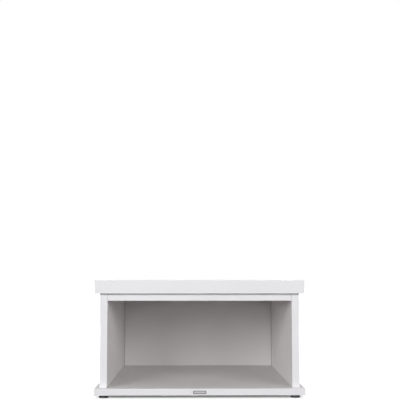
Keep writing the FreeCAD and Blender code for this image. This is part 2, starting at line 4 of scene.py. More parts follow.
import bpy
from bpy.props import FloatProperty, FloatVectorProperty, IntProperty, PointerProperty
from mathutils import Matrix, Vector


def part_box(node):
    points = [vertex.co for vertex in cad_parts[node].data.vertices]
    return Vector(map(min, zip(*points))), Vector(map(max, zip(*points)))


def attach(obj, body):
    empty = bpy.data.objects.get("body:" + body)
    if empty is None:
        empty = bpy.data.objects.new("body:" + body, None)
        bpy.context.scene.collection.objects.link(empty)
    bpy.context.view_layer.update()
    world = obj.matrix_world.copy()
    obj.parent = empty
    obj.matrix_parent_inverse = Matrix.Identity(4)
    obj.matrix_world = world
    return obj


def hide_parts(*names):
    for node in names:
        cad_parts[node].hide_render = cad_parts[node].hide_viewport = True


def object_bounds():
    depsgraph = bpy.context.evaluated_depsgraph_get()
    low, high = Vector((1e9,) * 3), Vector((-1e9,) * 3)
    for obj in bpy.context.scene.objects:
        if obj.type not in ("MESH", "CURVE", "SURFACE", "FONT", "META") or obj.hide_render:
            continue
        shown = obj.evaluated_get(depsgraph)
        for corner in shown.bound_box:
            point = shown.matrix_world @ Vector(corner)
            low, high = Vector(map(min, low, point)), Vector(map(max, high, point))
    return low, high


bl_info = {
    "name": "Laundry Pedestal",
    "version": (1, 0, 0),
    "blender": (4, 5, 0),
    "location": "View3D > Sidebar > Pedestal",
    "description": "Dresses the packed pedestal: faced boards, fittings, feet, a bare plate and a studio",
    "category": "Object",
}

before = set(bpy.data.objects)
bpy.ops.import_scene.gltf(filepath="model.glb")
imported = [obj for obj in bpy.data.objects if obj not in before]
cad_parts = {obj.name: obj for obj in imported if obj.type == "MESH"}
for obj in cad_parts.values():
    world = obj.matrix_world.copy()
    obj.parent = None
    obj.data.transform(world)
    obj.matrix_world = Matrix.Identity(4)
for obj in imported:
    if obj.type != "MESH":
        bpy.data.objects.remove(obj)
CAD_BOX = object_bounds()

MM = 0.001
ORIGIN = (0.0, 0.0, 0.0)
UPWARD = (0.0, 0.0, 1.0)
WHITE = (1.0, 1.0, 1.0, 1.0)

BOARD_THICKNESS_AXIS = {
    "bottom_board": "Z", "inner_top_panel": "Z", "deck_board": "Z",
    "left_side_panel": "X", "right_side_panel": "X", "left_rim_board": "X", "right_rim_board": "X",
    "back_panel": "Y", "front_rim_board": "Y", "rear_rim_board": "Y",
}
RIM_AND_DECK = ["deck_board", "front_rim_board", "rear_rim_board", "left_rim_board", "right_rim_board"]
EDGE_BANDS = [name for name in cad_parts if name.endswith("edge_bands")]
DOWELS = [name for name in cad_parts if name.endswith("dowels")]
STEEL_FITTINGS = ["bottom_screws", "back_panel_screws", "deck_screws", "cam_bolts", "foot_inserts"]
CORNERS = ["front_left", "front_right", "rear_left", "rear_right"]

# Axes along which the two ends of a node meet another board, where a thin line of painted shade is drawn.
SEAM_SHADE_AXES = {
    "inner_top_edge_bands": "X", "deck_board": "XY", "back_panel": "XZ", "back_panel_edge_bands": "Z",
    "left_side_panel": "Z", "right_side_panel": "Z",
    "left_side_edge_bands": "Z", "right_side_edge_bands": "Z",
    "left_rim_board": "Y", "right_rim_board": "Y", "left_rim_edge_bands": "Y", "right_rim_edge_bands": "Y",
}

# Most of a noise's values lie between these two.
NOISE_LOW = 0.3
NOISE_HIGH = 0.7

# How far the patterns are drawn out along the axes of a piece.
CHIP_FLATTENING = 2.5
BEECH_STRETCH = (1.0, 1.0, 0.15)
STROKE_STRETCH = (0.03, 1.0, 1.0)

MERGE_DISTANCE = 0.002 * MM
SMOOTH_ANGLE = math.radians(35.0)
PLATE_SMOOTH_ANGLE = math.radians(16.0)

# A face looks to the front where the Y of its normal is below this.
FRONT_NORMAL = -0.9

# How far the field of the plate narrows along each axis where it is set back.
FIELD_DRAFT = (0.99, 1.0, 0.97)

# Corners of the turned foot pieces, as steps outwards and upwards in millimetres.
UNDERSIDE_RECESS = 0.5
BASE_UNDERSIDE = [(-5.0, UNDERSIDE_RECESS), (-4.4, 0.0), (-1.0, 0.0), (-0.3, 0.3), (0.0, 1.0)]
FLANGE_ROUND = [(0.0, -0.5), (-0.2, -0.15), (-0.7, 0.0)]
HUB_FILLET = [(0.5, 0.35), (0.12, 0.55), (0.0, 0.9)]
HUB_ROUND = [(0.0, -0.4), (-0.12, -0.12), (-0.4, 0.0)]
SOCKET_TOP = [(0.0, 0.0), (0.0, -1.4), (1.5, -2.9)]
SOCKET_FLOOR = [(1.5, 1.5), (0.0, 0.0)]
BALL_END = [(-0.4, 0.0), (0.6, 0.7), (1.45, 1.5), (1.45, 1.9), (0.6, 2.8), (0.0, 3.4)]
STEM_TIP = [(0.0, -0.8), (-0.6, 0.0)]

# Steps in one turn of each turned or wound piece.
BASE_STEPS = 72
STEM_STEPS = 48
THREAD_STEPS = 36

# How far one piece of a foot is sunk into another before they are fused.
RIB_SUNK_IN_HUB = 0.6 * MM
RIB_SUNK_IN_FLANGE = 1.0 * MM
CORE_SUNK_IN_COLLAR = 0.5 * MM
THREAD_SUNK_IN_CORE = 0.1 * MM

# Shares of the pitch at which the thread is at its crest, leaves it and is down again.
THREAD_FLANKS = (0.42, 0.54, 0.96)
THREAD_ABOVE_COLLAR = 0.3 * MM

# Power setting, place, width and height of each lamp.
SOFTBOXES = {
    "front_softbox": ("front_power", (-0.2, -3.4, 1.3), 2.0, 0.9),
    "front_left_softbox": ("front_left_power", (-1.9, -2.8, 0.95), 1.8, 1.1),
    "front_right_softbox": ("front_right_power", (1.9, -2.7, 0.95), 1.8, 1.1),
    "left_softbox": ("side_power", (-2.8, 0.3, 0.75), 1.8, 1.2),
    "right_softbox": ("side_power", (2.8, 0.3, 0.75), 1.8, 1.2),
    "rear_softbox": ("rear_power", (0.0, 3.2, 0.9), 0.7, 1.4),
    "top_softbox": ("top_power", (0.0, 0.0, 2.8), 2.0, 2.0),
}
FLOOR_WIDTH = 60.0


def colour_setting(label, text, default):
    """A colour that the user can change."""
    return FloatVectorProperty(name=label, description=text, subtype="COLOR", size=3, min=0.0, max=1.0,
                               default=default)


def length_setting(label, text, default):
    """A length in metres that the user can change."""
    return FloatProperty(name=label, description=text, unit="LENGTH", subtype="DISTANCE", min=0.0,
                         precision=5, default=default)


def share_setting(label, text, default):
    """A share from 0 to 1 that the user can change."""
    return FloatProperty(name=label, description=text, subtype="FACTOR", min=0.0, max=1.0, default=default)


def count_setting(label, text, least, default):
    """A number of like things that the user can change."""
    return IntProperty(name=label, description=text, min=least, default=default)


def place_setting(label, text, default):
    """A place in the room that the user can change."""
    return FloatVectorProperty(name=label, description=text, subtype="TRANSLATION", unit="LENGTH", size=3,
                               default=default)


def angle_setting(label, text, default):
    """An angle in degrees that the user can change."""
    return FloatProperty(name=label, description=text, subtype="ANGLE", unit="ROTATION",
                         default=math.radians(default))


def power_setting(label, text, default):
    """The power of a lamp that the user can change."""
    return FloatProperty(name=label, description=text, unit="POWER", min=0.0, default=default)


class PedestalBoards(bpy.types.PropertyGroup):
    """Finish of the faced boards and their edge bands."""
    # The carcass faces are the same white melamine as the rim and deck, tinted warm: painted light for the
    # warm bounce inside the bay. Their two tones differ at random.
    face_light_painted_warm: colour_setting("Face, light", "Lighter tone of the carcass faces", (0.778, 0.757, 0.752))
    face_shade_painted_warm: colour_setting("Face, shade", "Darker tone of the carcass faces", (0.758, 0.737, 0.731))
    rim_light: colour_setting("Rim, light", "Lighter tone of the deck and rim faces", (0.780, 0.782, 0.794))
    rim_shade: colour_setting("Rim, shade", "Darker tone of the deck and rim faces", (0.760, 0.762, 0.772))
    tone_patch: length_setting("Face tone patch", "Width of the soft patches of tone on the faces", 0.17)
    face_gloss: share_setting("Face roughness", "Roughness of the clean melamine face", 0.42)
    face_smudge: share_setting("Smudge roughness", "Roughness where hands have dulled the face", 0.50)
    smudge_size: length_setting("Smudge size", "Width of the dulled patches on the faces", 0.07)
    pearl_size: length_setting("Pearl size", "Width of the fine pearl embossing", 0.9 * MM)
    pearl_depth: length_setting("Pearl depth", "Depth of the fine pearl embossing", 0.05 * MM)
    core_light: colour_setting("Core, light", "Pale chips in the board's core", (0.58, 0.43, 0.28))
    core_dark: colour_setting("Core, dark", "Dark chips in the board's core", (0.24, 0.15, 0.085))
    chip_size: length_setting("Chip size", "Length of the chips in the core", 2.4 * MM)
    core_gloss: share_setting("Core roughness, low", "Roughness of the smoothest chips", 0.82)
    core_dull: share_setting("Core roughness, high", "Roughness of the coarsest chips", 0.95)
    skin: length_setting("Facing thickness", "Thickness of the melamine facing", 0.3 * MM)
    band_light: colour_setting("Band, light", "Lighter tone of the edge band", (0.790, 0.790, 0.808))
    band_shade: colour_setting("Band, shade", "Darker tone of the edge band", (0.762, 0.761, 0.778))
    band_patch: length_setting("Band tone patch", "Width of the soft patches of tone on the bands", 0.11)
    band_gloss: share_setting("Band roughness", "Roughness of the clean plastic edge band", 0.36)
    band_smudge: share_setting("Band smudge roughness", "Roughness where hands have dulled the band", 0.48)
    band_smudge_size: length_setting("Band smudge size", "Width of the dulled patches on the bands", 0.035)
    band_grain: length_setting("Band grain", "Width of the faint relief on the bands", 1.6 * MM)
    band_grain_depth: length_setting("Band grain depth", "Depth of the faint relief on the bands", 0.02 * MM)
    sheen_level: share_setting("Reflection", "Strength of the reflection on boards and bands", 0.03)
    # A thin dark line of painted shade where two boards meet.
    seam_shade_width: length_setting("Joint width", "Width of the dark line where two boards meet", 0.7 * MM)
    seam_shade_colour: colour_setting("Joint", "Colour of the line where two boards meet", (0.36, 0.35, 0.34))


class PedestalFittings(bpy.types.PropertyGroup):
    """Finish of the screws, cams, caps and dowels."""
    zinc_light: colour_setting("Zinc, light", "Bright tone of the zinc plating", (0.70, 0.71, 0.74))
    zinc_dark: colour_setting("Zinc, dark", "Dull tone of the zinc plating", (0.46, 0.47, 0.48))
    casting_light: colour_setting("Casting, light", "Bright tone of the cast cams", (0.58, 0.58, 0.60))
    casting_dark: colour_setting("Casting, dark", "Dull tone of the cast cams", (0.36, 0.36, 0.37))
    cap_light: colour_setting("Cap, light", "Lighter tone of the cover caps", (0.82, 0.82, 0.83))
    cap_dark: colour_setting("Cap, shade", "Darker tone of the cover caps", (0.77, 0.77, 0.775))
    beech_light: colour_setting("Beech, light", "Pale beech between the pores", (0.68, 0.50, 0.32))
    beech_dark: colour_setting("Beech, dark", "Growth lines of the beech", (0.46, 0.29, 0.16))
    beech_line: length_setting("Beech line", "Width of the growth lines of the beech", 1.5 * MM)


class PedestalPlate(bpy.types.PropertyGroup):
    """The small bare plate on the front edge of the bottom board."""
    width: length_setting("Width", "Width of the plate", 39 * MM)
    height: length_setting("Height", "Height of the plate", 9.6 * MM)
    thickness: length_setting("Thickness", "Thickness of the plate", 0.8 * MM)
    proud: length_setting("Proud", "How far the plate stands out of the edge band", 0.15 * MM)
    drop: length_setting("Drop", "How far the plate sits below the middle of the edge", 0.7 * MM)
    field_corner: length_setting("Field corner", "Radius of the field's corners inside the border", 0.4 * MM)
    edge: length_setting("Edge", "Width of the flat edge outside the border", 0.12 * MM)
    border: length_setting("Border", "Width of the dark border", 1.5 * MM)
    stroke: length_setting("Brush stroke", "Width of the brush strokes on the field", 0.25 * MM)
    field_light: colour_setting("Field, light", "Bright strokes of the bare field", (0.52, 0.52, 0.533))
    field_dark: colour_setting("Field, dark", "Dull strokes of the bare field", (0.42, 0.42, 0.43))
    field_metal: share_setting("Field metal", "How metallic the bare field looks", 0.15)
    border_light: colour_setting("Border, light", "Scuffed enamel of the border", (0.055, 0.055, 0.06))
    border_dark: colour_setting("Border, dark", "Fresh enamel of the border", (0.044, 0.044, 0.048))


class PedestalFeet(bpy.types.PropertyGroup):
    """Sizes and finishes of the levelling feet."""
    flange_height: length_setting("Flange height", "Height of the flange of each base", 4.0 * MM)
    hub_radius: length_setting("Hub radius", "Radius of the hub of each base", 8.0 * MM)
    neck_radius: length_setting("Neck radius", "Radius of the opening in each hub", 4.1 * MM)
    socket_floor: length_setting("Socket floor", "Height of the floor of each socket", 1.5 * MM)
    rib_count: count_setting("Ribs", "Ribs on the top of each base", 3, 12)
    rib_thickness: length_setting("Rib thickness", "Thickness of each rib", 1.2 * MM)
    rib_drop: length_setting("Rib drop", "How far the ribs start below the top of the hub", 0.4 * MM)
    rib_inset: length_setting("Rib inset", "How far the ribs end inside the rim of the base", 1.6 * MM)
    rib_end: length_setting("Rib end", "Height of the outer end of each rib", 0.8 * MM)
    rib_round: length_setting("Rib round", "Radius of the edges of each rib", 0.15 * MM)
    collar_low: length_setting("Collar, low", "Height of the underside of the hexagon collar", 6.8 * MM)
    collar_high: length_setting("Collar, high", "Height of the top of the hexagon collar", 10.0 * MM)
    collar_radius: length_setting("Collar radius", "Radius over the corners of the collar", 7.5 * MM)
    collar_turn: angle_setting("Collar turn", "How far the collar is turned on the stem", 30.0)
    collar_round: length_setting("Collar round", "Radius of the edges of the collar", 0.35 * MM)
    thread_radius: length_setting("Thread radius", "Radius over the thread", 4.0 * MM)
    thread_pitch: length_setting("Thread pitch", "Rise of the thread in one turn", 1.25 * MM)
    thread_depth: length_setting("Thread depth", "Depth of the thread", 0.65 * MM)
    thread_turns: count_setting("Thread turns", "Turns of thread on each stem", 1, 12)
    # Both tones are lighter than black plastic: painted light standing in for the highlight on the shaded
    # feet. The scuffs between them are wear.
    plastic_scuffed_painted_light: colour_setting("Plastic, light", "Scuffed tone of the plastic", (0.15, 0.15, 0.157))
    plastic_fresh_painted_light: colour_setting("Plastic, dark", "Fresh tone of the plastic", (0.08, 0.08, 0.084))


class PedestalStudio(bpy.types.PropertyGroup):
    """Camera, lamps and floor."""
    camera_place: place_setting("Camera", "Where the camera stands", (-0.0262, -2.437, 0.3568))
    camera_pitch: angle_setting("Camera pitch", "How far the camera looks up", 3.92)
    camera_yaw: angle_setting("Camera yaw", "How far the camera looks to the right", 0.72)
    camera_lens: FloatProperty(name="Lens", description="Focal length in millimetres", min=1.0, default=63.84)
    camera_rise: FloatProperty(name="Lens rise", description="Vertical shift of the lens", default=0.075)
    front_power: power_setting("Front softbox", "Power of the softbox behind the camera", 9.0)
    front_left_power: power_setting("Front left softbox", "Power of the softbox left of the camera", 65.0)
    front_right_power: power_setting("Front right softbox", "Power of the softbox right of the camera", 51.0)
    side_power: power_setting("Side softboxes", "Power of the softboxes at both sides", 26.0)
    rear_power: power_setting("Rear softbox", "Power of the softbox behind the pedestal", 46.0)
    top_power: power_setting("Top softbox", "Power of the softbox above the pedestal", 22.0)
    lamp_colour: colour_setting("Lamp colour", "Colour of the lamps", (0.985, 0.99, 1.0))
    lamp_aim: place_setting("Lamp aim", "The point that every lamp looks at", (0.0, -0.10, 0.18))
    room_light: FloatProperty(name="Room light", description="Strength of the even room light", min=0.0,
                              default=0.14)
    mirrored_room: share_setting("Mirrored room", "How bright the room is in reflections", 0.4)
    floor_colour: colour_setting("Floor", "Colour of the floor as it is seen", (0.9, 0.9, 0.9))
    floor_bounce: colour_setting("Floor bounce", "Colour of the light that the floor throws back",
                                 (0.06, 0.038, 0.030))
    # The floor glows less under and near the pedestal: painted shadow over its real one. These three set
    # where it fades and how dark it stays.
    painted_shadow_start: length_setting("Shadow start", "How far under the pedestal the shadow fades from", 0.06)
    painted_shadow_reach: length_setting("Shadow reach", "How far the shadow spreads round the pedestal", 0.002)
    painted_shadow_lift: share_setting("Shadow lift", "How far the floor under the pedestal is lifted", 0.09)
    floor_lift: share_setting("Floor lift", "How far the near floor is lifted towards white", 0.55)
    white_start: length_setting("White start", "Where the floor begins to turn fully white", 0.3)
    white_reach: length_setting("White reach", "Where the floor is fully white", 1.2)


def new_finish(name):
    """A new material with its node tree and shader."""
    material = bpy.data.materials.new(name)
    material.use_nodes = True
    tree = material.node_tree
    return material, tree, tree.nodes["Principled BSDF"]


def node_socket(sockets, identifier):
    """One of several sockets that share a name."""
    return next(each for each in sockets if each.identifier == identifier)


def space(tree, stretch=(1.0, 1.0, 1.0), shift=ORIGIN):
    """Object coordinates, stretched and shifted for a pattern."""
    where = tree.nodes.new("ShaderNodeTexCoord")
    mapping = tree.nodes.new("ShaderNodeMapping")
    mapping.inputs["Location"].default_value = shift
    mapping.inputs["Scale"].default_value = stretch
    tree.links.new(where.outputs["Object"], mapping.inputs["Vector"])
    return mapping.outputs["Vector"]


def axes_of(tree, vector):
    """The X, Y and Z of a vector, as sockets."""
    split = tree.nodes.new("ShaderNodeSeparateXYZ")
    tree.links.new(vector, split.inputs["Vector"])
    return split.outputs


def cloud(tree, vector, size, detail=3.0):
    """Soft noise whose patches are about this size."""
    noise = tree.nodes.new("ShaderNodeTexNoise")
    noise.inputs["Scale"].default_value = 1.0 / size
    noise.inputs["Detail"].default_value = detail
    tree.links.new(vector, noise.inputs["Vector"])
    return noise.outputs["Fac"]


def chips(tree, vector, size):
    """A random value for each chip of about this size."""
    cells = tree.nodes.new("ShaderNodeTexVoronoi")
    cells.inputs["Scale"].default_value = 1.0 / size
    tree.links.new(vector, cells.inputs["Vector"])
    split = tree.nodes.new("ShaderNodeSeparateColor")
    tree.links.new(cells.outputs["Color"], split.inputs["Color"])
    return split.outputs["Red"]


def tones(tree, factor, dark, light, low=NOISE_LOW, high=NOISE_HIGH):
    """A colour between dark and light, by a factor."""
    ramp = tree.nodes.new("ShaderNodeValToRGB")
    first, last = ramp.color_ramp.elements
    first.position = low
    first.color = (*dark, 1.0)
    last.position = high
    last.color = (*light, 1.0)
    tree.links.new(factor, ramp.inputs["Fac"])
    return ramp.outputs["Color"]


def remap(tree, value, span, result, interpolation="LINEAR"):
    """A number that goes over the result while the value goes over the span."""
    scale = tree.nodes.new("ShaderNodeMapRange")
    scale.interpolation_type = interpolation
    scale.inputs["From Min"].default_value = span[0]
    scale.inputs["From Max"].default_value = span[1]
    scale.inputs["To Min"].default_value = result[0]
    scale.inputs["To Max"].default_value = result[1]
    tree.links.new(value, scale.inputs["Value"])
    return scale.outputs["Result"]


def spread(tree, noise, low, high):
    """A number between low and high, by a noise."""
    return remap(tree, noise, (NOISE_LOW, NOISE_HIGH), (low, high))


def figure(tree, operation, first, second):
    """One sum on a socket and a number or another socket."""
    sum_node = tree.nodes.new("ShaderNodeMath")
    sum_node.operation = operation
    tree.links.new(first, sum_node.inputs[0])
    if isinstance(second, bpy.types.NodeSocket):
        tree.links.new(second, sum_node.inputs[1])
    else:
        sum_node.inputs[1].default_value = second
    return sum_node.outputs["Value"]


def distance_from(tree, value, place):
    """How far a coordinate is from a place on its axis."""
    return figure(tree, "ABSOLUTE", figure(tree, "SUBTRACT", value, place), 0.0)


def blend_colours(tree, factor, first, second):
    """The first colour where the factor is 0, and the second, a socket or a plain colour, where it is 1."""
    mix = tree.nodes.new("ShaderNodeMix")
    mix.data_type = "RGBA"
    tree.links.new(factor, node_socket(mix.inputs, "Factor_Float"))
    tree.links.new(first, node_socket(mix.inputs, "A_Color"))
    if isinstance(second, bpy.types.NodeSocket):
        tree.links.new(second, node_socket(mix.inputs, "B_Color"))
    else:
        node_socket(mix.inputs, "B_Color").default_value = (*second, 1.0)
    return node_socket(mix.outputs, "Result_Color")


def blend_numbers(tree, factor, first, second):
    """The first number where the factor is 0 and the second where it is 1."""
    mix = tree.nodes.new("ShaderNodeMix")
    tree.links.new(factor, node_socket(mix.inputs, "Factor_Float"))
    tree.links.new(first, node_socket(mix.inputs, "A_Float"))
    tree.links.new(second, node_socket(mix.inputs, "B_Float"))
    return node_socket(mix.outputs, "Result_Float")


def emboss(tree, shader, height, depth, strength):
    """A fine relief of this depth on the surface."""
    bump = tree.nodes.new("ShaderNodeBump")
    bump.inputs["Strength"].default_value = strength
    bump.inputs["Distance"].default_value = depth
    tree.links.new(height, bump.inputs["Height"])
    tree.links.new(bump.outputs["Normal"], shader.inputs["Normal"])


def painted_seam_shade(tree, node, colour):
    """The colour, with a thin line of painted shade at the ends of the node that meet another board."""
    if node not in SEAM_SHADE_AXES:
        return colour
    boards = bpy.context.scene.pedestal_boards
    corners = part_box(node)
    axes = axes_of(tree, space(tree))
    for axis in SEAM_SHADE_AXES[node]:
        for corner in corners:
            away = distance_from(tree, axes[axis], corner["XYZ".index(axis)])
            near = figure(tree, "LESS_THAN", away, boards.seam_shade_width)
            colour = blend_colours(tree, near, colour, boards.seam_shade_colour)
    return colour


def faced_board_finish(node, axis):
    """White melamine on the two faces of one board, and chipboard on its edges and in its holes."""
    boards = bpy.context.scene.pedestal_boards
    low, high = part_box(node)
    letter = "XYZ".index(axis)
    middle = (low[letter] + high[letter]) / 2
    half = (high[letter] - low[letter]) / 2
    material, tree, shader = new_finish(f"faced_board_{node}")
    plain = space(tree)
    own_place = space(tree, shift=(low[1], high[0], low[2]))

    # Carcass faces take the warm tint that is painted light for the bounce in the bay; rim and deck faces
    # take the plainer white.
    on_top = node in RIM_AND_DECK
    shade = boards.rim_shade if on_top else boards.face_shade_painted_warm
    light = boards.rim_light if on_top else boards.face_light_painted_warm
    face = tones(tree, cloud(tree, own_place, boards.tone_patch), shade, light)
    flakes = space(tree, stretch=tuple(CHIP_FLATTENING if name == axis else 1.0 for name in "XYZ"))
    core = tones(tree, chips(tree, flakes, boards.chip_size), boards.core_dark, boards.core_light,
                 low=0.1, high=0.9)
    off_middle = distance_from(tree, axes_of(tree, plain)[axis], middle)
    on_face = figure(tree, "GREATER_THAN", off_middle, half - boards.skin)
    # The face and core colour take thin lines of painted shade at the seams.
    dressed = painted_seam_shade(tree, node, blend_colours(tree, on_face, core, face))
    tree.links.new(dressed, shader.inputs["Base Color"])
    shader.inputs["Specular IOR Level"].default_value = boards.sheen_level

    dulled = cloud(tree, own_place, boards.smudge_size, detail=4.0)
    smudges = spread(tree, dulled, boards.face_gloss, boards.face_smudge)
    coarse = spread(tree, cloud(tree, plain, boards.chip_size), boards.core_gloss, boards.core_dull)
    tree.links.new(blend_numbers(tree, on_face, coarse, smudges), shader.inputs["Roughness"])
    pearl = cloud(tree, plain, boards.pearl_size, detail=1.0)
    emboss(tree, shader, pearl, boards.pearl_depth, strength=0.4)
    return material


def edge_band_finish(node):
    """White plastic edge band with soft patches of tone, dulled places and a faint relief."""
    boards = bpy.context.scene.pedestal_boards
    material, tree, shader = new_finish(f"edge_band_{node}")
    low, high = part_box(node)
    plain = space(tree)
    patches = cloud(tree, space(tree, shift=(high[0], low[1], low[2])), boards.band_patch)
    band = tones(tree, patches, boards.band_shade, boards.band_light)
    # The band takes thin lines of painted shade at its seams.
    tree.links.new(painted_seam_shade(tree, node, band), shader.inputs["Base Color"])
    shader.inputs["Specular IOR Level"].default_value = boards.sheen_level
    dulled = cloud(tree, plain, boards.band_smudge_size, detail=4.0)
    tree.links.new(spread(tree, dulled, boards.band_gloss, boards.band_smudge), shader.inputs["Roughness"])
    grain = cloud(tree, plain, boards.band_grain, detail=2.0)
    emboss(tree, shader, grain, boards.band_grain_depth, strength=0.2)
    return material


def metal_finish(name, light, dark, patch, roughness, relief):
    """Bare metal with dull patches and a fine relief."""
    material, tree, shader = new_finish(name)
    dull_patch = patch / 3
    grain_size = patch / 6
    plain = space(tree)
    patches = cloud(tree, plain, patch, detail=4.0)
    tree.links.new(tones(tree, patches, dark, light), shader.inputs["Base Color"])
    shader.inputs["Metallic"].default_value = 1.0
    tree.links.new(spread(tree, cloud(tree, plain, dull_patch), *roughness), shader.inputs["Roughness"])
    emboss(tree, shader, cloud(tree, plain, grain_size, detail=2.0), relief, strength=0.4)
    return material


def moulded_finish(name, light, dark, roughness):
    """Moulded plastic with a spark-eroded texture and scuffs."""
    material, tree, shader = new_finish(name)
    scuff_size = 6 * MM
    dull_patch = 3 * MM
    grain_size = 0.35 * MM
    grain_depth = 0.03 * MM
    plain = space(tree)
    scuffs = cloud(tree, plain, scuff_size, detail=5.0)
    tree.links.new(tones(tree, scuffs, dark, light, low=0.4, high=0.8), shader.inputs["Base Color"])
    tree.links.new(spread(tree, cloud(tree, plain, dull_patch), *roughness), shader.inputs["Roughness"])
    emboss(tree, shader, cloud(tree, plain, grain_size, detail=2.0), grain_depth, strength=0.5)
    return material


def beech_finish():
    """Beech with its growth lines along the dowel."""
    fittings = bpy.context.scene.pedestal_fittings
    material, tree, shader = new_finish("beech")
    line_depth = 0.05 * MM
    lines = cloud(tree, space(tree, stretch=BEECH_STRETCH), fittings.beech_line, detail=4.0)
    tree.links.new(tones(tree, lines, fittings.beech_dark, fittings.beech_light), shader.inputs["Base Color"])
    tree.links.new(spread(tree, lines, low=0.5, high=0.75), shader.inputs["Roughness"])
    emboss(tree, shader, lines, line_depth, strength=0.4)
    return material


def dress(node, material):
    """Gives one material to a CAD node."""
    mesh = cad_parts[node].data
    mesh.materials.clear()
    mesh.materials.append(material)


def select_only(piece):
    """Selects one piece and makes it the active one."""
    bpy.ops.object.select_all(action="DESELECT")
    piece.select_set(True)
    bpy.context.view_layer.objects.active = piece


def begin(adder, **settings):
    """Adds one primitive with nothing else selected, and opens it in edit mode."""
    bpy.ops.object.select_all(action="DESELECT")
    adder(**settings)
    bpy.ops.object.mode_set(mode="EDIT")
    bpy.ops.mesh.select_all(action="SELECT")
    return bpy.context.object


def settle(piece, name):
    """Leaves edit mode and puts the piece's place, turn and scale into its mesh."""
    bpy.ops.object.mode_set(mode="OBJECT")
    select_only(piece)
    bpy.ops.object.transform_apply(location=True, rotation=True, scale=True)
    piece.name = name
    piece.data.name = name
    return piece


def close_mesh():
    """Merges doubled points of the mesh in edit mode and turns its faces outwards."""
    bpy.ops.mesh.select_all(action="SELECT")
    bpy.ops.mesh.remove_doubles(threshold=MERGE_DISTANCE)
    bpy.ops.mesh.normals_make_consistent(inside=False)


def drawn_line(points):
    """A single vertex, extruded from point to point."""
    piece = begin(bpy.ops.mesh.primitive_plane_add, size=MM, location=points[0])
    bpy.ops.mesh.merge(type="CENTER")
    for start, stop in zip(points, points[1:]):
        bpy.ops.mesh.extrude_region_move(TRANSFORM_OT_translate={"value": Vector(stop) - Vector(start)})
    bpy.ops.mesh.select_all(action="SELECT")
    return piece


def around(radius, height, steps):
    """Points of a turned outline round one of its corners, from steps in millimetres."""
    return [(radius + outwards * MM, height + upwards * MM) for outwards, upwards in steps]


def spun(name, outline, steps):
    """A closed turned piece on the Z axis, from (radius, height) pairs that start and end on it."""
    piece = drawn_line([(radius, 0.0, height) for radius, height in outline])
    bpy.ops.mesh.spin(steps=steps, angle=math.tau, center=ORIGIN, axis=UPWARD)
    close_mesh()
    return settle(piece, name)


def joined(pieces, name):
    """Joins pieces into the first of them."""
    select_only(pieces[0])
    for piece in pieces:
        piece.select_set(True)
    bpy.ops.object.join()
    return settle(pieces[0], name)


def fused(pieces, name):
    """Fuses overlapping closed pieces into the first of them, as one shell."""
    whole = pieces[0]
    for other in pieces[1:]:
        select_only(whole)
        union = whole.modifiers.new("union", "BOOLEAN")
        union.operation = "UNION"
        union.solver = "EXACT"
        union.object = other
        bpy.ops.object.modifier_apply(modifier="union")
        bpy.data.objects.remove(other)
    bpy.ops.object.mode_set(mode="EDIT")
    close_mesh()
    return settle(whole, name)


def finish_mesh(piece, material, angle=SMOOTH_ANGLE):
    """Smooth shading up to an angle, and one material."""
    select_only(piece)
    bpy.ops.object.shade_smooth_by_angle(angle=angle)
    piece.data.materials.clear()
    piece.data.materials.append(material)


def copied(piece, name, offset=ORIGIN, turn=0.0):
    """A copy of a piece with its own mesh, turned about the Z axis and moved."""
    select_only(piece)
    bpy.ops.object.duplicate(linked=False)
    twin = bpy.context.object
    if turn:
        bpy.ops.transform.rotate(value=turn, orient_axis="Z", center_override=ORIGIN)
    bpy.ops.transform.translate(value=offset)
    return settle(twin, name)


def middle_of(node):
    """Middle of a CAD node's box in plan, on the floor."""
    low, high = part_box(node)
    return Vector(((low.x + high.x) / 2, (low.y + high.y) / 2, 0.0))


def put_at_corners(model, kind, body):
    """Copies a modelled foot piece to the four corners and removes the model."""
    for corner in CORNERS:
        node = f"{corner}_{kind}"
        piece = copied(model, f"{corner}_dressed_{kind}", middle_of(node))
        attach(piece, f"{corner}_{body}")
        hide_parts(node)
    bpy.data.objects.remove(model)


class PEDESTAL_OT_boards(bpy.types.Operator):
    """Face every board with white melamine over a chipboard core"""
    bl_idname = "pedestal.boards"
    bl_label = "Face the boards"

    def execute(self, context):
        for node, axis in BOARD_THICKNESS_AXIS.items():
            dress(node, faced_board_finish(node, axis))
        return {"FINISHED"}


class PEDESTAL_OT_edge_bands(bpy.types.Operator):
    """Finish every edge band in white plastic"""
    bl_idname = "pedestal.edge_bands"
    bl_label = "Finish the edge bands"

    def execute(self, context):
        for node in EDGE_BANDS:
            dress(node, edge_band_finish(node))
        return {"FINISHED"}


class PEDESTAL_OT_fittings(bpy.types.Operator):
    """Finish the screws, inserts, cams, caps and dowels"""
    bl_idname = "pedestal.fittings"
    bl_label = "Finish the fittings"

    def execute(self, context):
        finish = context.scene.pedestal_fittings
        plated = metal_finish("zinc_plating", finish.zinc_light, finish.zinc_dark,
                              patch=3 * MM, roughness=(0.26, 0.44), relief=0.02 * MM)
        cast = metal_finish("zinc_casting", finish.casting_light, finish.casting_dark,
                            patch=2 * MM, roughness=(0.42, 0.62), relief=0.05 * MM)
        cap = moulded_finish("white_cap_plastic", finish.cap_light, finish.cap_dark, roughness=(0.35, 0.5))
        beech = beech_finish()
        for node in STEEL_FITTINGS:
            dress(node, plated)
        dress("cam_locks", cast)
        dress("cam_caps", cap)
        for node in DOWELS:
            dress(node, beech)
        return {"FINISHED"}


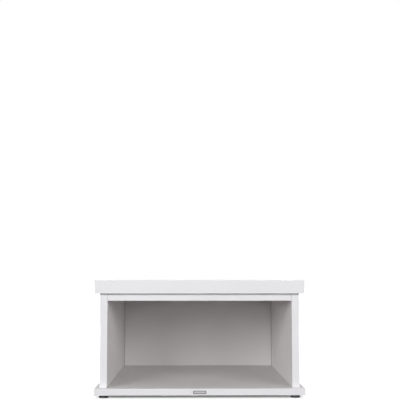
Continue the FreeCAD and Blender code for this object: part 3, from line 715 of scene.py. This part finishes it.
class PEDESTAL_OT_foot_bases(bpy.types.Operator):
    """Model the ribbed plastic bases of the four feet"""
    bl_idname = "pedestal.foot_bases"
    bl_label = "Model the foot bases"

    def execute(self, context):
        feet = context.scene.pedestal_feet
        low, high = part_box("front_left_foot_base")
        rim = (high.x - low.x) / 2
        turned = self.turned_base(feet, rim, high.z)
        ribs = [self.first_rib(feet, rim, high.z)]
        for index in range(1, feet.rib_count):
            ribs.append(copied(ribs[0], f"foot_rib_{index}", turn=math.tau * index / feet.rib_count))
        base = fused([turned, joined(ribs, "foot_ribs")], "foot_base_model")
        finish_mesh(base, moulded_finish("black_foot_plastic", feet.plastic_scuffed_painted_light, feet.plastic_fresh_painted_light,
                                         roughness=(0.2, 0.32)))
        put_at_corners(base, "foot_base", "foot")
        return {"FINISHED"}

    def turned_base(self, feet, rim, top):
        """The flange, the hub and the socket in one turned piece."""
        outline = [(0.0, UNDERSIDE_RECESS * MM)]
        outline += around(rim, 0.0, BASE_UNDERSIDE)
        outline += around(rim, feet.flange_height, FLANGE_ROUND)
        outline += around(feet.hub_radius, feet.flange_height, HUB_FILLET)
        outline += around(feet.hub_radius, top, HUB_ROUND)
        outline += around(feet.neck_radius, top, SOCKET_TOP)
        outline += around(feet.neck_radius, feet.socket_floor, SOCKET_FLOOR)
        outline += [(0.0, feet.socket_floor)]
        return spun("foot_base_model", outline, BASE_STEPS)

    def first_rib(self, feet, rim, top):
        """One gusset rib, which slopes from the hub down to the flange."""
        root = feet.hub_radius - RIB_SUNK_IN_HUB
        tip = rim - feet.rib_inset
        bottom = feet.flange_height - RIB_SUNK_IN_FLANGE
        crest = top - feet.rib_drop
        rib = begin(bpy.ops.mesh.primitive_cube_add, size=1.0, location=ORIGIN)
        bpy.ops.transform.resize(value=(tip - root, feet.rib_thickness, crest - bottom))
        bpy.ops.transform.translate(value=((tip + root) / 2, 0.0, (crest + bottom) / 2))
        bpy.ops.mesh.select_all(action="DESELECT")
        bpy.ops.object.mode_set(mode="OBJECT")
        for vertex in rib.data.vertices:
            vertex.select = vertex.co.x > feet.hub_radius and vertex.co.z > feet.flange_height
        bpy.ops.object.mode_set(mode="EDIT")
        bpy.ops.transform.translate(value=(0.0, 0.0, feet.flange_height + feet.rib_end - crest))
        bpy.ops.mesh.select_all(action="SELECT")
        bpy.ops.mesh.bevel(offset=feet.rib_round, segments=2, affect="EDGES")
        return settle(rib, "foot_rib_0")


class PEDESTAL_OT_foot_stems(bpy.types.Operator):
    """Model the threaded stems of the four feet"""
    bl_idname = "pedestal.foot_stems"
    bl_label = "Model the threaded stems"

    def execute(self, context):
        feet = context.scene.pedestal_feet
        fittings = context.scene.pedestal_fittings
        low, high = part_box("front_left_foot_stem")
        core = self.turned_core(feet, low.z, high.z)
        stem = fused([core, self.hexagon_collar(feet), self.wound_thread(feet)], "foot_stem_model")
        finish_mesh(stem, metal_finish("foot_stem_zinc", fittings.zinc_light, fittings.zinc_dark,
                                       patch=2 * MM, roughness=(0.24, 0.40), relief=0.02 * MM))
        put_at_corners(stem, "foot_stem", "screw")
        return {"FINISHED"}

    def turned_core(self, feet, bottom, top):
        """The ball end and the core of the thread in one turned piece."""
        root = feet.thread_radius - feet.thread_depth
        outline = [(0.0, bottom)]
        outline += around(feet.thread_radius, bottom, BALL_END)
        outline += [(feet.thread_radius, feet.collar_low + CORE_SUNK_IN_COLLAR)]
        outline += [(root, feet.collar_high - CORE_SUNK_IN_COLLAR)]
        outline += around(root, top, STEM_TIP)
        outline += [(0.0, top)]
        return spun("stem_core", outline, STEM_STEPS)

    def hexagon_collar(self, feet):
        """The hexagon collar with its edges eased."""
        middle = (feet.collar_low + feet.collar_high) / 2
        collar = begin(bpy.ops.mesh.primitive_cylinder_add, vertices=6, radius=feet.collar_radius,
                       depth=feet.collar_high - feet.collar_low, location=(0.0, 0.0, middle),
                       rotation=(0.0, 0.0, feet.collar_turn))
        bpy.ops.mesh.bevel(offset=feet.collar_round, segments=3, affect="EDGES")
        return settle(collar, "stem_collar")

    def wound_thread(self, feet):
        """The thread, wound up the core from above the collar."""
        crest = feet.thread_radius
        root = crest - feet.thread_depth - THREAD_SUNK_IN_CORE
        pitch = feet.thread_pitch
        start = feet.collar_high + THREAD_ABOVE_COLLAR
        rise, fall, end = THREAD_FLANKS
        thread = drawn_line([
            (root, 0.0, start), (crest, 0.0, start + rise * pitch),
            (crest, 0.0, start + fall * pitch), (root, 0.0, start + end * pitch),
        ])
        bpy.ops.mesh.edge_face_add()
        bpy.ops.mesh.delete(type="ONLY_FACE")
        thread = settle(thread, "stem_thread")
        winding = thread.modifiers.new("winding", "SCREW")
        winding.axis = "Z"
        winding.angle = math.tau
        winding.screw_offset = pitch
        winding.iterations = feet.thread_turns
        winding.steps = THREAD_STEPS
        winding.render_steps = THREAD_STEPS
        bpy.ops.object.modifier_apply(modifier="winding")
        bpy.ops.object.mode_set(mode="EDIT")
        close_mesh()
        bpy.ops.mesh.fill_holes(sides=4)
        close_mesh()
        return settle(thread, "stem_thread")


class PEDESTAL_OT_plate(bpy.types.Operator):
    """Model the small bare plate on the front edge of the bottom board"""
    bl_idname = "pedestal.plate"
    bl_label = "Model the bare plate"

    def execute(self, context):
        size = context.scene.pedestal_plate
        low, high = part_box("bottom_board_edge_bands")
        front = low.y - size.proud
        middle = (0.0, front + size.thickness / 2, (low.z + high.z) / 2 - size.drop)
        plate = begin(bpy.ops.mesh.primitive_cube_add, size=1.0, location=middle)
        bpy.ops.transform.resize(value=(size.width, size.thickness, size.height))
        self.select_corners(plate, size)
        bpy.ops.mesh.bevel(offset=size.field_corner + size.border + size.edge, segments=6, affect="EDGES")
        self.select_front(plate)
        bpy.ops.mesh.inset(thickness=size.edge, depth=0.0)
        bpy.ops.mesh.inset(thickness=size.border, depth=0.0)
        bpy.ops.mesh.extrude_region_move(TRANSFORM_OT_translate={"value": (0.0, size.proud / 2, 0.0)})
        bpy.ops.transform.resize(value=FIELD_DRAFT)
        bpy.ops.object.mode_set(mode="OBJECT")
        field_faces = [face.index for face in plate.data.polygons if face.select]
        if not field_faces:
            raise RuntimeError("the bare plate has no field")
        plate = settle(plate, "bare_plate")
        finish_mesh(plate, moulded_finish("plate_border_enamel", size.border_light, size.border_dark,
                                          roughness=(0.3, 0.42)), PLATE_SMOOTH_ANGLE)
        plate.data.materials.append(self.brushed_finish(size))
        for index in field_faces:
            plate.data.polygons[index].material_index = 1
        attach(plate, "carcass")
        return {"FINISHED"}

    def select_corners(self, plate, size):
        """Selects the four edges that run through the plate's thickness."""
        bpy.ops.mesh.select_mode(type="EDGE")
        bpy.ops.mesh.select_all(action="DESELECT")
        bpy.ops.object.mode_set(mode="OBJECT")
        for edge in plate.data.edges:
            first, last = [plate.data.vertices[index].co for index in edge.vertices]
            edge.select = abs(first.y - last.y) > size.thickness / 2
        bpy.ops.object.mode_set(mode="EDIT")

    def select_front(self, plate):
        """Selects the one face that looks to the front."""
        bpy.ops.mesh.select_mode(type="FACE")
        bpy.ops.object.mode_set(mode="OBJECT")
        for face in plate.data.polygons:
            face.select = face.normal.y < FRONT_NORMAL
        bpy.ops.object.mode_set(mode="EDIT")

    def brushed_finish(self, size):
        """Satin metal brushed along its length."""
        material, tree, shader = new_finish("plate_brushed_metal")
        stroke_depth = 0.02 * MM
        strokes = cloud(tree, space(tree, stretch=STROKE_STRETCH), size.stroke)
        tree.links.new(tones(tree, strokes, size.field_dark, size.field_light), shader.inputs["Base Color"])
        shader.inputs["Metallic"].default_value = size.field_metal
        tree.links.new(spread(tree, strokes, low=0.36, high=0.52), shader.inputs["Roughness"])
        emboss(tree, shader, strokes, stroke_depth, strength=0.3)
        return material


class PEDESTAL_OT_studio(bpy.types.Operator):
    """Set up the floor, the soft lamps, the room light and the camera"""
    bl_idname = "pedestal.studio"
    bl_label = "Set up the studio"

    def execute(self, context):
        studio = context.scene.pedestal_studio
        context.scene.view_settings.view_transform = "Standard"
        self.add_floor(studio)
        self.add_room(context.scene, studio)
        for name, (power, place, width, height) in SOFTBOXES.items():
            self.add_softbox(studio, name, getattr(studio, power), Vector(place), width, height)
        self.add_camera(context.scene, studio)
        return {"FINISHED"}

    def seen_directly(self, tree):
        """1 where a ray comes from the camera, a mirror or glass, and 0 for scattered light."""
        path = tree.nodes.new("ShaderNodeLightPath").outputs
        mirrored = figure(tree, "MAXIMUM", path["Is Glossy Ray"], path["Is Transmission Ray"])
        return figure(tree, "MAXIMUM", path["Is Camera Ray"], mirrored)

    def show_or_light(self, tree, scattered, shown, output):
        """Ends a node tree with one shader for scattered light and another for what is seen directly."""
        choose = tree.nodes.new("ShaderNodeMixShader")
        tree.links.new(self.seen_directly(tree), choose.inputs["Fac"])
        tree.links.new(scattered, choose.inputs[1])
        tree.links.new(shown, choose.inputs[2])
        surface = tree.nodes.new(output)
        tree.links.new(choose.outputs["Shader"], surface.inputs["Surface"])

    def add_floor(self, studio):
        """A wide pale floor that keeps the shadow of the pedestal, and glows less near it: painted shadow
        over the real one.
        """
        bpy.ops.object.select_all(action="DESELECT")
        bpy.ops.mesh.primitive_plane_add(size=FLOOR_WIDTH, location=ORIGIN)
        floor = bpy.context.object
        floor.name = "studio_floor"
        material = bpy.data.materials.new("studio_floor")
        material.use_nodes = True
        tree = material.node_tree
        tree.nodes.clear()
        pale = tree.nodes.new("ShaderNodeBsdfDiffuse")
        pale.inputs["Color"].default_value = (*studio.floor_colour, 1.0)
        lift = tree.nodes.new("ShaderNodeEmission")
        tree.links.new(self.glow_with_painted_shadow(tree, studio), lift.inputs["Strength"])
        shown = tree.nodes.new("ShaderNodeAddShader")
        tree.links.new(pale.outputs["BSDF"], shown.inputs[0])
        tree.links.new(lift.outputs["Emission"], shown.inputs[1])
        thrown = tree.nodes.new("ShaderNodeBsdfDiffuse")
        thrown.inputs["Color"].default_value = (*studio.floor_bounce, 1.0)
        self.show_or_light(tree, thrown.outputs["BSDF"], shown.outputs["Shader"], "ShaderNodeOutputMaterial")
        floor.data.materials.append(material)

    def glow_with_painted_shadow(self, tree, studio):
        """How far the floor is lifted to white by its glow: little under the pedestal, which paints shadow
        there, and fully away from it.
        """
        axes = axes_of(tree, space(tree))
        half = CAD_BOX[1]
        beside, before = [figure(tree, "SUBTRACT", distance_from(tree, axes[axis], 0.0), half[index])
                          for index, axis in enumerate("XY")]
        outside = figure(tree, "MAXIMUM", beside, before)
        near = remap(tree, outside, (-studio.painted_shadow_start, studio.painted_shadow_reach),
                     (studio.painted_shadow_lift, studio.floor_lift), "SMOOTHSTEP")
        far = remap(tree, outside, (studio.white_start, studio.white_reach),
                    (0.0, 1.0 - studio.floor_lift), "SMOOTHSTEP")
        return figure(tree, "ADD", near, far)

    def add_room(self, scene, studio):
        """Even room light behind a white background that is dimmer in reflections."""
        world = bpy.data.worlds.new("studio_room")
        world.use_nodes = True
        scene.world = world
        tree = world.node_tree
        tree.nodes.clear()
        room = tree.nodes.new("ShaderNodeBackground")
        room.inputs["Color"].default_value = WHITE
        room.inputs["Strength"].default_value = studio.room_light
        backdrop = tree.nodes.new("ShaderNodeBackground")
        backdrop.inputs["Color"].default_value = WHITE
        camera_ray = tree.nodes.new("ShaderNodeLightPath").outputs["Is Camera Ray"]
        tree.links.new(figure(tree, "MAXIMUM", camera_ray, studio.mirrored_room), backdrop.inputs["Strength"])
        self.show_or_light(tree, room.outputs["Background"], backdrop.outputs["Background"],
                           "ShaderNodeOutputWorld")

    def add_softbox(self, studio, name, power, place, width, height):
        """A soft rectangular lamp that looks at the lamps' aim."""
        lamp = bpy.data.lights.new(name, "AREA")
        lamp.shape = "RECTANGLE"
        lamp.size = width
        lamp.size_y = height
        lamp.energy = power
        lamp.color = studio.lamp_colour
        softbox = bpy.data.objects.new(name, lamp)
        softbox.location = place
        softbox.rotation_euler = (Vector(studio.lamp_aim) - place).to_track_quat("-Z", "Y").to_euler()
        bpy.context.scene.collection.objects.link(softbox)

    def add_camera(self, scene, studio):
        """A camera low in front of the bay, a little left of its middle."""
        lens = bpy.data.cameras.new("front_camera")
        lens.lens = studio.camera_lens
        lens.shift_y = studio.camera_rise
        camera = bpy.data.objects.new("front_camera", lens)
        camera.location = studio.camera_place
        camera.rotation_euler = (math.pi / 2 + studio.camera_pitch, 0.0, -studio.camera_yaw)
        scene.collection.objects.link(camera)
        scene.camera = camera


class PEDESTAL_PT_sidebar(bpy.types.Panel):
    """Lists the settings and steps of the pedestal"""
    bl_idname = "PEDESTAL_PT_sidebar"
    bl_label = "Laundry Pedestal"
    bl_space_type = "VIEW_3D"
    bl_region_type = "UI"
    bl_category = "Pedestal"

    def draw(self, context):
        layout = self.layout
        for group in SETTINGS:
            settings = getattr(context.scene, group)
            box = layout.box()
            for key in settings.bl_rna.properties.keys():
                if key not in {"rna_type", "name"}:
                    box.prop(settings, key)
        for step in STEPS:
            layout.operator(step.bl_idname)


SETTINGS = {
    "pedestal_boards": PedestalBoards,
    "pedestal_fittings": PedestalFittings,
    "pedestal_plate": PedestalPlate,
    "pedestal_feet": PedestalFeet,
    "pedestal_studio": PedestalStudio,
}
STEPS = [
    PEDESTAL_OT_boards, PEDESTAL_OT_edge_bands, PEDESTAL_OT_fittings, PEDESTAL_OT_foot_bases,
    PEDESTAL_OT_foot_stems, PEDESTAL_OT_plate, PEDESTAL_OT_studio,
]


def register():
    """Registers the settings, the steps and the panel."""
    for name, group in SETTINGS.items():
        bpy.utils.register_class(group)
        setattr(bpy.types.Scene, name, PointerProperty(type=group))
    for step in STEPS:
        bpy.utils.register_class(step)
    bpy.utils.register_class(PEDESTAL_PT_sidebar)


def unregister():
    """Removes what register added."""
    bpy.utils.unregister_class(PEDESTAL_PT_sidebar)
    for step in reversed(STEPS):
        bpy.utils.unregister_class(step)
    for name, group in SETTINGS.items():
        delattr(bpy.types.Scene, name)
        bpy.utils.unregister_class(group)


def main():
    """Runs every step in order."""
    register()
    bpy.ops.pedestal.boards()
    bpy.ops.pedestal.edge_bands()
    bpy.ops.pedestal.fittings()
    bpy.ops.pedestal.foot_bases()
    bpy.ops.pedestal.foot_stems()
    bpy.ops.pedestal.plate()
    bpy.ops.pedestal.studio()


if __name__ == "__main__":
    main()
